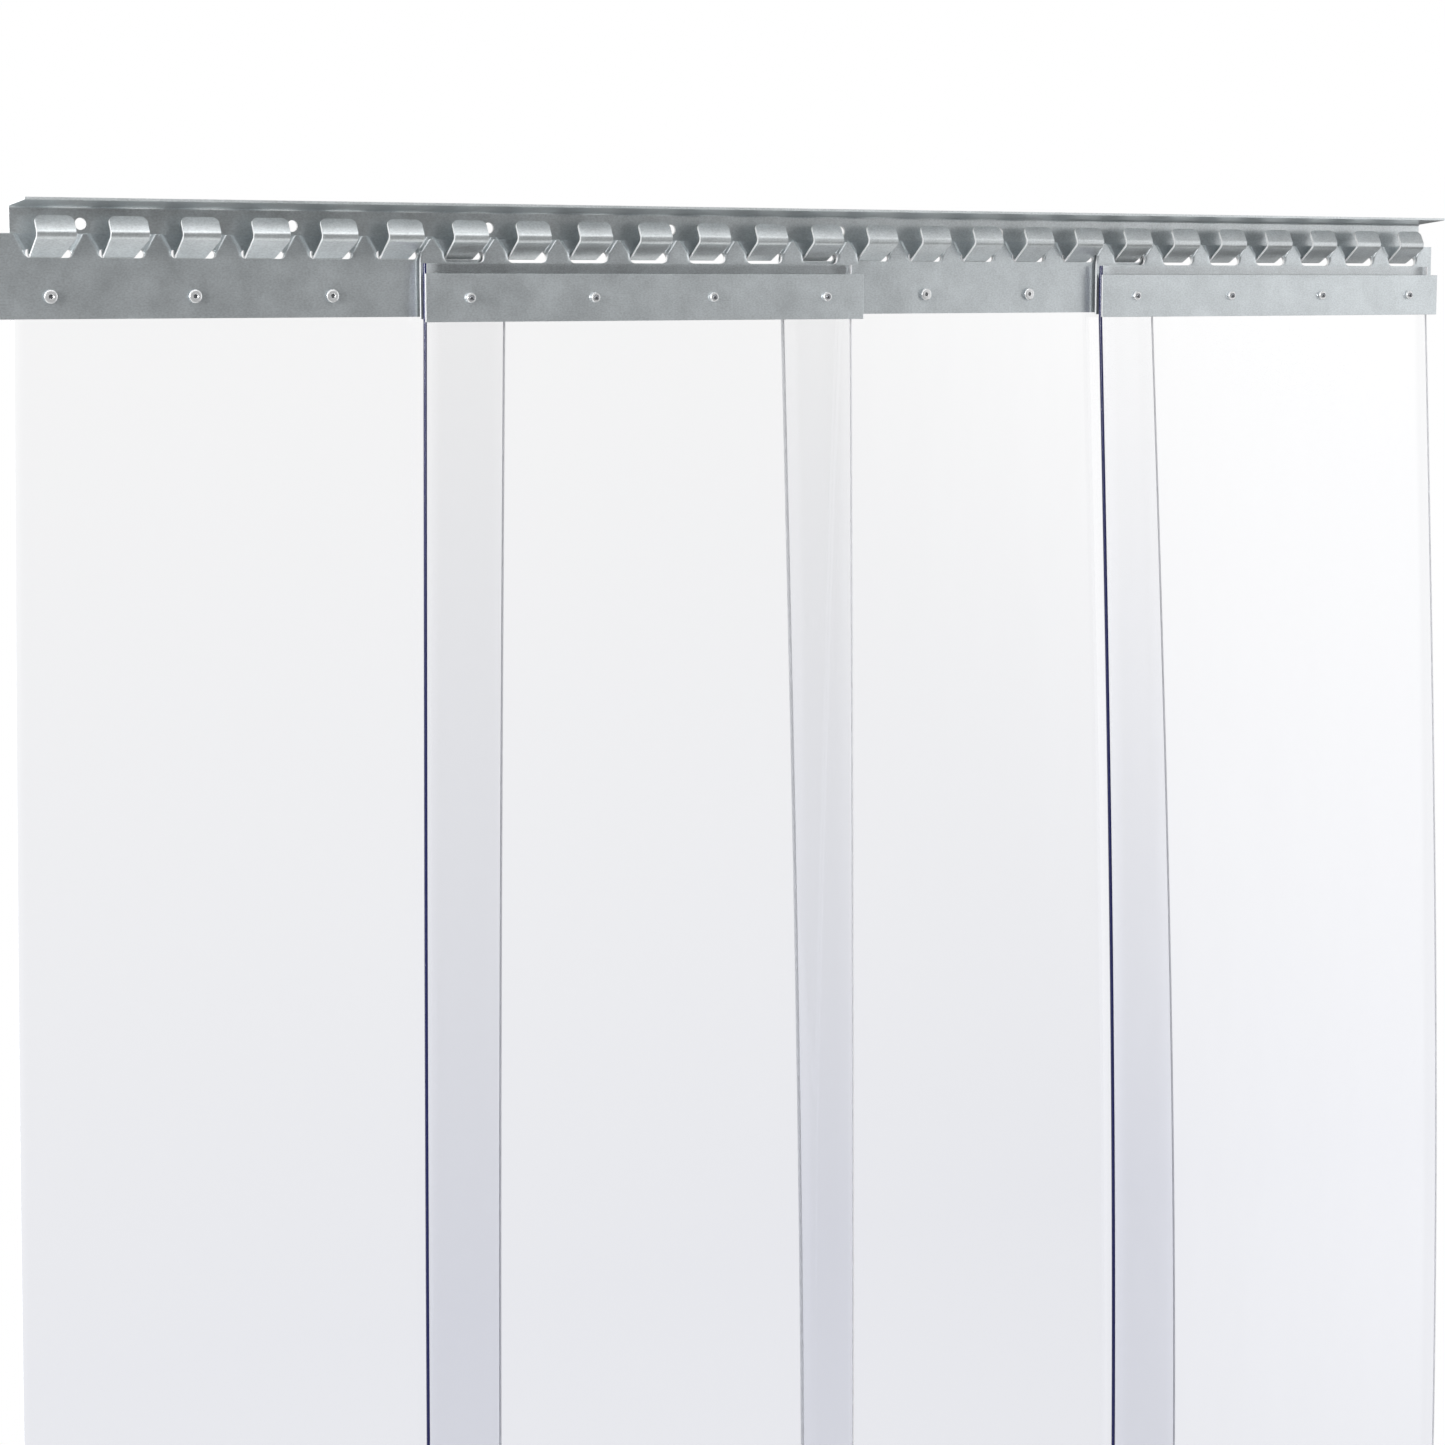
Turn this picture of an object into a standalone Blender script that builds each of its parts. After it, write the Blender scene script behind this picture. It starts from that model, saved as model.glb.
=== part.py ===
"""PVC strip curtain: four clear strips, each clamped under a slotted hanger plate, on a rail of hooks.

The origin is on the rail's back face, halfway along it and level with its screw holes.
+X runs along the rail, -Y points out of the wall towards the viewer and +Z points up.
"""
import math

import bmesh
import bpy
from mathutils import Matrix, Vector

NAME = "pvc_strip_curtain"

# Strips and how they share the hooks
STRIP_COUNT = 4
HOOKS_PER_STEP = 6
STRIP_WIDTH = 0.300
STRIP_LENGTH = 2.000
STRIP_THICKNESS = 0.003
STRIP_EDGE_RADIUS = 0.0012
STRIP_SIDE_SHIFTS = (0.0036, -0.0036, -0.0018, -0.0036)

# Rail: an angle, a little wider than square, whose lower edge carries a comb of hooks
HOOK_PITCH = 0.0417
RAIL_SHEET = 0.0015
RAIL_TOP = 0.0135
RAIL_LOWER_EDGE = -0.0114
RAIL_CORNER_RADIUS = 0.0015
FLANGE_REACH = 0.0255
FLANGE_RISE = math.radians(6)
SCREW_HOLE_DIAMETER = 0.0066
SCREW_HOLE_FROM_HOOK = 0.019
HOOKS_PER_SCREW_HOLE = 3

# Hook: a valley, a rising slope, a rounded nose and a tip that leans back
HOOK_WIDTH = 0.022
HOOK_ROOT_WIDTH = 0.0175
HOOK_ROOT_SHIFT = -0.002
VALLEY_LEVEL = -0.0129
VALLEY_RADIUS = 0.0025
SLOPE_ANGLE = math.radians(39.2)
NOSE_REACH = 0.0155
NOSE_RADIUS = 0.003
TIP_LEAN = math.radians(25.6)
TIP_LENGTH = 0.0084
TIP_CORNER_RADIUS = 0.0035

# Hanger plate: a slot for each hook, under a bar that is pressed back towards the rail.
# Pairs of sizes are for a plate with its strip behind it and for one with its strip in front.
PLATE_SHEET = 0.0015
PLATE_HEIGHT = 0.0462
PLATE_END_MARGIN = 0.0285
SLOT_WIDTH = 0.026
SLOT_BASES = (0.0328, 0.0326)
SLOT_HEIGHTS = (0.0046, 0.0068)
SLOT_CORNER_RADII = (0.0022, 0.0032)
BAR_RECESS = 0.0015
RECESS_FOLD_INSET = 0.0005
RECESS_SLOT_HALF_WIDTHS = (0.0110, 0.0145)
RECESS_TOP_HALF_WIDTHS = (0.0170, 0.0197)

# Clamp bar and blind rivets
CLAMP_SHEET = 0.0015
CLAMP_HEIGHT = 0.028
CLAMP_DROPS = (0.0, 0.0018)
SLOTS_PER_RIVET = 2
RIVET_HEIGHT = 0.0122
RIVET_SHANK_DIAMETER = 0.0040
RIVET_BORE_DIAMETER = 0.0024
RIVET_FLANGE_DIAMETER = 0.0076
RIVET_FLANGE_HEIGHT = 0.0007
RIVET_CROWN_SHARE = 0.72
RIVET_TAIL_DIAMETER = 0.0060
RIVET_TAIL_LENGTH = 0.0022
MANDREL_DIAMETER = 0.0018
MANDREL_HEAD_DIAMETER = 0.0032
MANDREL_HEAD_LENGTH = 0.0010
MANDREL_BREAK_DEPTH = 0.0004

# Clearances
SEAT_GAP = 0.0003
SHEET_GAP = 0.0003
RAIL_TO_BAR_GAP = 0.0005
RIVET_HOLE_CLEARANCE = 0.0003
RIVET_SEAT_GAP = 0.00015
PLATE_TO_PLATE_GAP = 2 * (RIVET_FLANGE_HEIGHT + RIVET_SEAT_GAP) + SHEET_GAP
STRIP_BELOW_SLOT = 0.0005
CUTTER_OVERRUN = 0.002

# Facets
ARC_STEPS = 3
CORNER_STEPS = 2
RIVET_SIDES = 12
MANDREL_SIDES = 8
HOLE_SIDES = 12

# Worked out from the values above
HOOK_COUNT = STRIP_COUNT * HOOKS_PER_STEP + 1
SLOTS_PER_PLATE = HOOKS_PER_STEP + 1
RAIL_LENGTH = HOOK_COUNT * HOOK_PITCH
PLATE_LENGTH = HOOKS_PER_STEP * HOOK_PITCH + 2 * PLATE_END_MARGIN
SLOT_TOPS = tuple(base + height for base, height in zip(SLOT_BASES, SLOT_HEIGHTS))
PLATE_DEPTH = PLATE_SHEET + BAR_RECESS


def hook_x(index):
    """Centre of a hook, counted from 0 at the left end of the rail."""
    return (index - (HOOK_COUNT - 1) / 2) * HOOK_PITCH


def arc(centre, radius, start, end, steps=ARC_STEPS):
    """Points on an arc in the side view, as (depth, height)."""
    turns = [start + (end - start) * step / steps for step in range(steps + 1)]
    return [(centre[0] + radius * math.cos(turn), centre[1] + radius * math.sin(turn)) for turn in turns]


def slope_height(depth):
    """Height of the straight slope's inner face at a depth in front of the rail."""
    touch_depth = VALLEY_RADIUS * (1 + math.sin(SLOPE_ANGLE))
    touch_height = VALLEY_LEVEL - VALLEY_RADIUS * math.cos(SLOPE_ANGLE)
    return touch_height + (depth - touch_depth) * math.tan(SLOPE_ANGLE)


def hook_floor(depth):
    """Height of the hook's inner face, valley or slope, at a depth in front of the rail."""
    if depth > VALLEY_RADIUS * (1 + math.sin(SLOPE_ANGLE)):
        return slope_height(depth)
    return VALLEY_LEVEL - math.sqrt(VALLEY_RADIUS ** 2 - (VALLEY_RADIUS - depth) ** 2)


def hook_profile():
    """Inner face of a hook from the valley's start to the tip, as (depth, height)."""
    valley = arc((VALLEY_RADIUS, VALLEY_LEVEL), VALLEY_RADIUS, math.pi, 1.5 * math.pi + SLOPE_ANGLE)
    nose_depth = NOSE_REACH - NOSE_RADIUS - RAIL_SHEET
    nose_height = slope_height(nose_depth) + NOSE_RADIUS / math.cos(SLOPE_ANGLE)
    nose = arc((nose_depth, nose_height), NOSE_RADIUS, SLOPE_ANGLE - math.pi / 2, TIP_LEAN)
    last_depth, last_height = nose[-1]
    tip = (last_depth - TIP_LENGTH * math.sin(TIP_LEAN), last_height + TIP_LENGTH * math.cos(TIP_LEAN))
    return valley + nose + [tip]


def flange_lip():
    """Lower edge of the flange's lip, as (depth, height)."""
    return (FLANGE_REACH, RAIL_TOP - RAIL_SHEET * math.cos(FLANGE_RISE))


def flange_bend_centre():
    """Centre of the bend under the flange, as (depth, height)."""
    depth, height = flange_lip()
    run = depth + RAIL_CORNER_RADIUS * (math.sin(FLANGE_RISE) - 1)
    drop = run * math.tan(FLANGE_RISE) + RAIL_CORNER_RADIUS * math.cos(FLANGE_RISE)
    return (RAIL_CORNER_RADIUS, height - drop)


def rail_profile():
    """Inner face of the rail from the flange's lip down to its lower edge, as (depth, height)."""
    bend = arc(flange_bend_centre(), RAIL_CORNER_RADIUS, math.pi / 2 + FLANGE_RISE, math.pi)
    return [flange_lip()] + bend + [(0, RAIL_LOWER_EDGE)]


def depth_to_y(depth):
    """World Y of a depth in front of the rail's front face."""
    return -RAIL_SHEET - depth


def collection(name):
    """New collection in the scene."""
    made = bpy.data.collections.new(name)
    bpy.context.scene.collection.children.link(made)
    return made


def material(name, colour, roughness, metallic, alpha=1.0):
    """Principled material with one plain finish."""
    made = bpy.data.materials.new(name)
    made.use_nodes = True
    shader = made.node_tree.nodes["Principled BSDF"]
    shader.inputs["Base Color"].default_value = (*colour, 1.0)
    shader.inputs["Roughness"].default_value = roughness
    shader.inputs["Metallic"].default_value = metallic
    shader.inputs["Alpha"].default_value = alpha
    return made


def add_object(name, mesh, home, finish=None, parent=None, place=(0, 0, 0)):
    """Object in a collection, with its material and its place under its parent."""
    made = bpy.data.objects.new(name, mesh)
    home.objects.link(made)
    if finish and not mesh.materials:
        mesh.materials.append(finish)
    made.parent = parent
    made.location = place
    return made


def mesh_from(bm, name):
    """Mesh data from a bmesh, which is freed."""
    mesh = bpy.data.meshes.new(name)
    bm.to_mesh(mesh)
    bm.free()
    return mesh


def box_bmesh(size, centre):
    """Box of a size about a centre."""
    bm = bmesh.new()
    bmesh.ops.create_cube(bm, size=1, matrix=Matrix.LocRotScale(Vector(centre), None, Vector(size)))
    return bm


def sweep(points, stations):
    """Open sheet made by extruding a side view of (y, z) points through stations along X."""
    bm = bmesh.new()
    chain = [bm.verts.new((stations[0], y, z)) for y, z in points]
    edges = [bm.edges.new(pair) for pair in zip(chain, chain[1:])]
    for here, there in zip(stations, stations[1:]):
        made = bmesh.ops.extrude_edge_only(bm, edges=edges)["geom"]
        moved = {item for item in made if isinstance(item, bmesh.types.BMVert)}
        bmesh.ops.translate(bm, verts=list(moved), vec=(there - here, 0, 0))
        made_edges = [item for item in made if isinstance(item, bmesh.types.BMEdge)]
        edges = [edge for edge in made_edges if moved.issuperset(edge.verts)]
    return bm


def add_solidify(target, thickness, even):
    """Wall thickness on the outer side of an open sheet."""
    wall = target.modifiers.new("wall", "SOLIDIFY")
    wall.thickness = thickness
    wall.offset = 1
    wall.use_even_offset = even


def add_cut(target, cutter):
    """Boolean difference with the exact solver."""
    cut = target.modifiers.new("cut_" + cutter.name, "BOOLEAN")
    cut.operation = "DIFFERENCE"
    cut.solver = "EXACT"
    cut.object = cutter


def add_cutter(name, bm, home, parent=None, place=(0, 0, 0)):
    """Cutter shown as wire and left out of renders."""
    cutter = add_object(name, mesh_from(bm, name), home, parent=parent, place=place)
    cutter.display_type = "WIRE"
    cutter.hide_render = True
    return cutter


def round_edges(bm, corners, radius, kind):
    """Rounds edges, or the corners of a sheet given as vertices."""
    bmesh.ops.bevel(bm, geom=corners, offset=radius, segments=CORNER_STEPS, profile=0.5, affect=kind)


def round_bores(centres, diameter, length):
    """Cylinders along Y, for a set of (x, z) centres."""
    bm = bmesh.new()
    turn = Matrix.Rotation(math.pi / 2, 4, "X")
    for x, z in centres:
        place = Matrix.Translation((x, 0, z)) @ turn
        bmesh.ops.create_cone(bm, cap_ends=True, segments=HOLE_SIDES, radius1=diameter / 2,
                              radius2=diameter / 2, depth=length, matrix=place)
    return bm


def slot_cutter(centres, position, length):
    """Blocks with rounded corners along Y, for the slots of a hanger plate."""
    bm = bmesh.new()
    size = Vector((SLOT_WIDTH, length, SLOT_HEIGHTS[position]))
    for x in centres:
        place = Vector((x, 0, SLOT_TOPS[position] - SLOT_HEIGHTS[position] / 2))
        bmesh.ops.create_cube(bm, size=1, matrix=Matrix.LocRotScale(place, None, size))
    across = [edge for edge in bm.edges if abs(edge.verts[0].co.y - edge.verts[1].co.y) > length / 2]
    round_edges(bm, across, SLOT_CORNER_RADII[position], "EDGES")
    return bm


def hook_side(side, depth):
    """Offset of a hook's left (-1) or right (1) side, which runs from its root out to its nose."""
    nose_depth = NOSE_REACH - NOSE_RADIUS - RAIL_SHEET
    share = min(1, max(0, (depth - VALLEY_RADIUS) / (nose_depth - VALLEY_RADIUS)))
    root = HOOK_ROOT_SHIFT + side * HOOK_ROOT_WIDTH / 2
    return root + (side * HOOK_WIDTH / 2 - root) * share


def nearest_hook_x(x):
    """Centre of the hook nearest to a place along the rail."""
    return hook_x(round(x / HOOK_PITCH + (HOOK_COUNT - 1) / 2))


def past_lower_edge(point):
    """Whether a point of the rail's sheet is on the comb, past the rail's lower edge."""
    in_front = point.y < depth_to_y(SEAT_GAP)
    return point.z < RAIL_LOWER_EDGE - SEAT_GAP or (in_front and point.z < flange_bend_centre()[1])


def make_rail(home, cutters, finish):
    """Angle rail with its comb of hooks and its screw holes."""
    half = RAIL_LENGTH / 2
    sides = [hook_x(index) + hook_side(side, 0) for index in range(HOOK_COUNT) for side in (-1, 1)]
    profile = [(depth_to_y(depth), z) for depth, z in rail_profile() + hook_profile()]
    bm = sweep(profile, [-half] + sides + [half])
    gaps = []
    for face in bm.faces:
        middle = face.calc_center_median()
        offset = middle.x - nearest_hook_x(middle.x) - HOOK_ROOT_SHIFT
        if past_lower_edge(middle) and abs(offset) > HOOK_ROOT_WIDTH / 2:
            gaps.append(face)
    bmesh.ops.delete(bm, geom=gaps, context="FACES")
    tips = []
    for vert in filter(lambda vert: past_lower_edge(vert.co), bm.verts):
        centre = nearest_hook_x(vert.co.x)
        side = math.copysign(1, vert.co.x - centre - HOOK_ROOT_SHIFT)
        vert.co.x = centre + hook_side(side, depth_to_y(0) - vert.co.y)
        if len(vert.link_edges) == 2:
            tips.append(vert)
    round_edges(bm, tips, TIP_CORNER_RADIUS, "VERTICES")
    rail = add_object("hook_rail", mesh_from(bm, "hook_rail"), home, finish)
    add_solidify(rail, RAIL_SHEET, even=True)
    drilled = range(0, HOOK_COUNT - 1, HOOKS_PER_SCREW_HOLE)
    holes = [(hook_x(index) + SCREW_HOLE_FROM_HOOK, 0) for index in drilled]
    bores = round_bores(holes, SCREW_HOLE_DIAMETER, 2 * CUTTER_OVERRUN + RAIL_SHEET)
    add_cut(rail, add_cutter("screw_holes", bores, cutters, place=(0, -RAIL_SHEET / 2, 0)))
    return rail


def recess_share(x, z, slots, position):
    """Share of the full recess at a point of the hanger plate's sheet."""
    offset = min(abs(x - centre) for centre in slots)
    if z < (SLOT_BASES[position] + SLOT_TOPS[position]) / 2:
        return 0
    full, none = RECESS_TOP_HALF_WIDTHS if z > SLOT_TOPS[position] else RECESS_SLOT_HALF_WIDTHS
    return min(1, max(0, (none - offset) / (none - full)))


def hanger_sheet(slots, position):
    """Open sheet of a hanger plate, with the bar over each slot pressed back."""
    half = PLATE_LENGTH / 2
    outer = [slots[0] - HOOK_PITCH] + slots + [slots[-1] + HOOK_PITCH]
    folds = RECESS_SLOT_HALF_WIDTHS + RECESS_TOP_HALF_WIDTHS
    stations = {side * fold + centre for centre in outer for fold in folds for side in (-1, 1)}
    inside = sorted(x for x in stations if abs(x) < half - SHEET_GAP)
    fold = (SLOT_BASES[position] + RECESS_FOLD_INSET, SLOT_TOPS[position] - RECESS_FOLD_INSET)
    rows = [0, *fold, PLATE_HEIGHT]
    bm = sweep([(0, z) for z in rows], [-half] + inside + [half])
    for vert in bm.verts:
        vert.co.y = BAR_RECESS * recess_share(vert.co.x, vert.co.z, outer, position)
    return bm


def strip_layout(index):
    """Depths of a strip's pieces and the height where its bars rest, behind or in front by turns."""
    in_front = index % 2 == 1
    bar_back = RAIL_TO_BAR_GAP
    if in_front:
        bar_back += PLATE_SHEET + PLATE_TO_PLATE_GAP
    bar_front = bar_back + PLATE_SHEET
    rest = max(hook_floor(bar_back), hook_floor(bar_front)) + SEAT_GAP
    face_back = bar_back + BAR_RECESS
    face_front = face_back + PLATE_SHEET
    if in_front:
        strip = face_front + SHEET_GAP + STRIP_THICKNESS / 2
        clamp = face_front + 2 * SHEET_GAP + STRIP_THICKNESS + CLAMP_SHEET / 2
    else:
        strip = face_back - SHEET_GAP - STRIP_THICKNESS / 2
        clamp = face_back - 2 * SHEET_GAP - STRIP_THICKNESS - CLAMP_SHEET / 2
    return {"pivot": (bar_back + bar_front) / 2, "rest": rest, "face_back": face_back,
            "face_front": face_front, "strip": strip, "clamp": clamp, "outward": 1 if in_front else -1}


def strip_top(position):
    """Height of a strip's upper edge, from the line where its bars rest."""
    return -STRIP_BELOW_SLOT - SLOT_HEIGHTS[position]


def strip_cut_length(layout, position):
    """Length of a strip; all are cut level with the first one's lower end."""
    return STRIP_LENGTH + layout["rest"] + strip_top(position) - strip_layout(0)["rest"] - strip_top(0)


def rivet_mesh(grip):
    """Half section of a blind rivet about Z: flange on top, then the shank and the swelled tail."""
    bore = RIVET_BORE_DIAMETER / 2
    shank = RIVET_SHANK_DIAMETER / 2
    flange = RIVET_FLANGE_DIAMETER / 2
    tail = RIVET_TAIL_DIAMETER / 2
    below = -grip - RIVET_TAIL_LENGTH
    crown = flange * RIVET_CROWN_SHARE
    profile = [(bore, RIVET_FLANGE_HEIGHT), (crown, RIVET_FLANGE_HEIGHT), (flange, RIVET_FLANGE_HEIGHT / 3),
               (flange, 0), (shank, 0), (shank, -grip), (tail, -grip - RIVET_TAIL_LENGTH / 3),
               (tail, below + RIVET_TAIL_LENGTH / 3), (shank, below), (bore, below)]
    return profile_mesh("rivet_section", profile, closed=True)


def mandrel_mesh(grip):
    """Half section of the broken mandrel that stays in a blind rivet, with its head past the tail."""
    stem = MANDREL_DIAMETER / 2
    head = MANDREL_HEAD_DIAMETER / 2
    top = RIVET_FLANGE_HEIGHT - MANDREL_BREAK_DEPTH
    under = -grip - RIVET_TAIL_LENGTH - SHEET_GAP
    profile = [(0, top), (stem, top), (stem, under), (head, under), (head, under - MANDREL_HEAD_LENGTH / 2),
               (head / 2, under - MANDREL_HEAD_LENGTH), (0, under - MANDREL_HEAD_LENGTH)]
    return profile_mesh("mandrel_section", profile, closed=False)


def profile_mesh(name, points, closed):
    """Chain of (radius, height) points in the XZ plane, for a Screw modifier."""
    mesh = bpy.data.meshes.new(name)
    edges = [(index, index + 1) for index in range(len(points) - 1)]
    if closed:
        edges.append((len(points) - 1, 0))
    mesh.from_pydata([(radius, 0, height) for radius, height in points], edges, [])
    return mesh


def add_turned(name, mesh, sides, home, finish, parent, place, outward):
    """Turned piece whose flange faces away from the strip's clamp bar."""
    made = add_object(name, mesh, home, finish, parent, place)
    made.rotation_euler = (math.pi / 2 if outward < 0 else -math.pi / 2, 0, 0)
    turn = made.modifiers.new("turn", "SCREW")
    turn.steps = sides
    turn.render_steps = sides
    turn.use_merge_vertices = True
    turn.merge_threshold = 0.00001
    turn.use_smooth_shade = True
    return made


def make_strip_set(index, home, cutters, finishes):
    """One hanging set: plate, strip, clamp bar, rivets and mandrels, about the line where its bars rest."""
    layout = strip_layout(index)
    position = index % 2
    first = index * HOOKS_PER_STEP
    middle_x = (hook_x(first) + hook_x(first + SLOTS_PER_PLATE - 1)) / 2
    slots = [hook_x(first + slot) - middle_x for slot in range(SLOTS_PER_PLATE)]
    number = index + 1
    pivot = bpy.data.objects.new("swing_" + str(number), None)
    pivot.location = (middle_x, depth_to_y(layout["pivot"]), layout["rest"])
    home.objects.link(pivot)

    def forward(depth):
        return layout["pivot"] - depth

    plate_base = -SLOT_TOPS[position]
    sheet = mesh_from(hanger_sheet(slots, position), "hanger_plate")
    plate = add_object("hanger_plate_" + str(number), sheet, home, finishes["plate"], pivot,
                       (0, forward(layout["face_back"]), plate_base))
    add_solidify(plate, PLATE_SHEET, even=False)
    reach = 2 * (PLATE_DEPTH + CUTTER_OVERRUN)
    windows = slot_cutter(slots, position, reach)
    face = (0, forward(layout["face_back"]), plate_base)
    add_cut(plate, add_cutter("slots_" + str(number), windows, cutters, pivot, face))

    rivet_spots = [(x, plate_base + RIVET_HEIGHT) for x in slots[::SLOTS_PER_RIVET]]
    hole = RIVET_SHANK_DIAMETER + 2 * RIVET_HOLE_CLEARANCE
    stack = PLATE_SHEET + STRIP_THICKNESS + CLAMP_SHEET + 2 * SHEET_GAP
    drill = round_bores(rivet_spots, hole, 2 * (stack + CUTTER_OVERRUN))
    middle = (0, forward(layout["strip"]), 0)
    bores = add_cutter("rivet_holes_" + str(number), drill, cutters, pivot, middle)
    add_cut(plate, bores)

    length = strip_cut_length(layout, position)
    bm = box_bmesh((STRIP_WIDTH, STRIP_THICKNESS, length), (0, 0, -length / 2))
    upright = [edge for edge in bm.edges if abs(edge.verts[0].co.z - edge.verts[1].co.z) > length / 2]
    round_edges(bm, upright, STRIP_EDGE_RADIUS, "EDGES")
    band = mesh_from(bm, "pvc_strip")
    strip = add_object("pvc_strip_" + str(number), band, home, finishes["strip"], pivot,
                       (STRIP_SIDE_SHIFTS[index], forward(layout["strip"]), strip_top(position)))
    add_cut(strip, bores)

    clamp_middle = plate_base + CLAMP_HEIGHT / 2 - CLAMP_DROPS[position]
    bm = box_bmesh((PLATE_LENGTH, CLAMP_SHEET, CLAMP_HEIGHT), (0, 0, 0))
    bar = mesh_from(bm, "clamp_bar")
    clamp = add_object("clamp_bar_" + str(number), bar, home, finishes["clamp"], pivot,
                       (0, forward(layout["clamp"]), clamp_middle))
    add_cut(clamp, bores)

    outward = layout["outward"]
    flange_face = layout["face_back"] - RIVET_SEAT_GAP
    if outward < 0:
        flange_face = layout["face_front"] + RIVET_SEAT_GAP
    grip = stack + 2 * RIVET_SEAT_GAP
    rivet = rivet_mesh(grip)
    mandrel = mandrel_mesh(grip)
    for count, (x, z) in enumerate(rivet_spots, start=1):
        label = str(number) + "_" + str(count)
        place = (x, forward(flange_face), z)
        for kind, mesh, sides in (("rivet", rivet, RIVET_SIDES), ("mandrel", mandrel, MANDREL_SIDES)):
            add_turned(kind + "_" + label, mesh, sides, home, finishes[kind], pivot, place, outward)


def main():
    """Clears the scene and builds the curtain."""
    for old in list(bpy.data.objects):
        bpy.data.objects.remove(old)
    home = collection(NAME)
    cutters = collection("cutters")
    finishes = {
        "rail": material("galvanised_rail", (0.42, 0.44, 0.45), 0.42, 1.0),
        "plate": material("galvanised_plate", (0.47, 0.49, 0.50), 0.40, 1.0),
        "clamp": material("galvanised_clamp", (0.50, 0.52, 0.53), 0.38, 1.0),
        "strip": material("clear_pvc", (0.90, 0.92, 0.97), 0.12, 0.0, 0.35),
        "rivet": material("bright_rivet", (0.82, 0.83, 0.84), 0.25, 1.0),
        "mandrel": material("steel_mandrel", (0.40, 0.40, 0.42), 0.35, 1.0),
    }
    make_rail(home, cutters, finishes["rail"])
    for index in range(STRIP_COUNT):
        make_strip_set(index, home, cutters, finishes)


main()
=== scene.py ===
"""Looks of a PVC strip curtain: finished meshes, materials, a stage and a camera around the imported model.

Lengths are in metres in the model's own frame: +X along the rail, -Y towards the viewer, +Z up.
"""
import math

import bmesh
import bpy
from bpy.props import FloatProperty, FloatVectorProperty, IntProperty, PointerProperty
from mathutils import Matrix, Vector


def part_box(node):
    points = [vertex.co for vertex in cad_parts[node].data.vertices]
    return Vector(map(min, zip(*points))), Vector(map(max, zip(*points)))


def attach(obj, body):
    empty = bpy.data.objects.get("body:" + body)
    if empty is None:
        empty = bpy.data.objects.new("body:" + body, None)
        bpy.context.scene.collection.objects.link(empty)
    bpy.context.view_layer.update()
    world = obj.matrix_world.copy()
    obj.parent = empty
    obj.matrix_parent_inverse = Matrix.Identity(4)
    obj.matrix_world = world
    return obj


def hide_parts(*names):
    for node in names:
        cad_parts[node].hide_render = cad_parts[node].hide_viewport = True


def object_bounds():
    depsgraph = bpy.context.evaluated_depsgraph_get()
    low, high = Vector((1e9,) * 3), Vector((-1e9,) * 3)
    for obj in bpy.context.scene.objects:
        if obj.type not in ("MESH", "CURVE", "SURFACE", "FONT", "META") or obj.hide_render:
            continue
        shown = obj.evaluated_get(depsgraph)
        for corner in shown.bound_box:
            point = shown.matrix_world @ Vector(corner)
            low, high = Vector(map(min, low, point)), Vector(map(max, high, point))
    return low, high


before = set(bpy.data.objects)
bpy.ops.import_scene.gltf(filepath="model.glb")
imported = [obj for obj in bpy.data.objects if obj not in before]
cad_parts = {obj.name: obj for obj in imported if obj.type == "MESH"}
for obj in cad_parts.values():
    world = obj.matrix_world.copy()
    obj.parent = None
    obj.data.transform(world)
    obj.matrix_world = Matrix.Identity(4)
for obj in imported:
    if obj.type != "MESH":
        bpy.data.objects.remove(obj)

bl_info = {
    "name": "PVC strip curtain",
    "version": (1, 0, 0),
    "blender": (4, 5, 0),
    "location": "View3D > Sidebar > Curtain",
    "description": "Dresses a strip curtain with its rail, plates, strips and rivets",
    "category": "Add Mesh",
}

CAD_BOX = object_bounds()
SETS = (1, 2, 3, 4)
ROW_TREE = "row_along_x"
ARC_STEPS = 10
ROUND_SIDES = 40
# Odd, so that no column of a plate's grid lies on a slot's edge
PLATE_COLUMNS = 57
# Lengths of the cutters that drill and slot, in thicknesses of the sheet
RAIL_CUTTER = 4
PLATE_CUTTER = 8
MERGE_DISTANCE = 0.00001
SMOOTH_ANGLE = math.radians(32)
STRIP_SMOOTH_ANGLE = math.radians(60)
BEVEL_ANGLE = math.radians(40)
# How far a face's normal turns along X, at least, on a sheared steel edge and on a strip's cut edge
SHEARED_TURN = 0.7
STRIP_EDGE_TURN = 0.1
PVC_IOR = 1.53
# Middle stretch of a noise texture's values
NOISE_ENDS = (0.3, 0.7)


def linear(hex_colour):
    """Linear RGB of an sRGB hex colour."""
    parts = [int(hex_colour[start:start + 2], 16) / 255 for start in (0, 2, 4)]
    return tuple(part / 12.92 if part <= 0.04045 else ((part + 0.055) / 1.055) ** 2.4 for part in parts)


def metres(name, description, default):
    """Setting for a length."""
    return FloatProperty(name=name, description=description, default=default, unit="LENGTH")


def degrees(name, description, default):
    """Setting for an angle."""
    return FloatProperty(name=name, description=description, default=math.radians(default), subtype="ANGLE")


def colour(name, description, default):
    """Setting for a colour, by its sRGB hex code."""
    return FloatVectorProperty(name=name, description=description, default=linear(default), subtype="COLOR",
                               min=0, max=1)


def whole(name, description, default, least):
    """Setting for a whole number."""
    return IntProperty(name=name, description=description, default=default, min=least)


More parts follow.
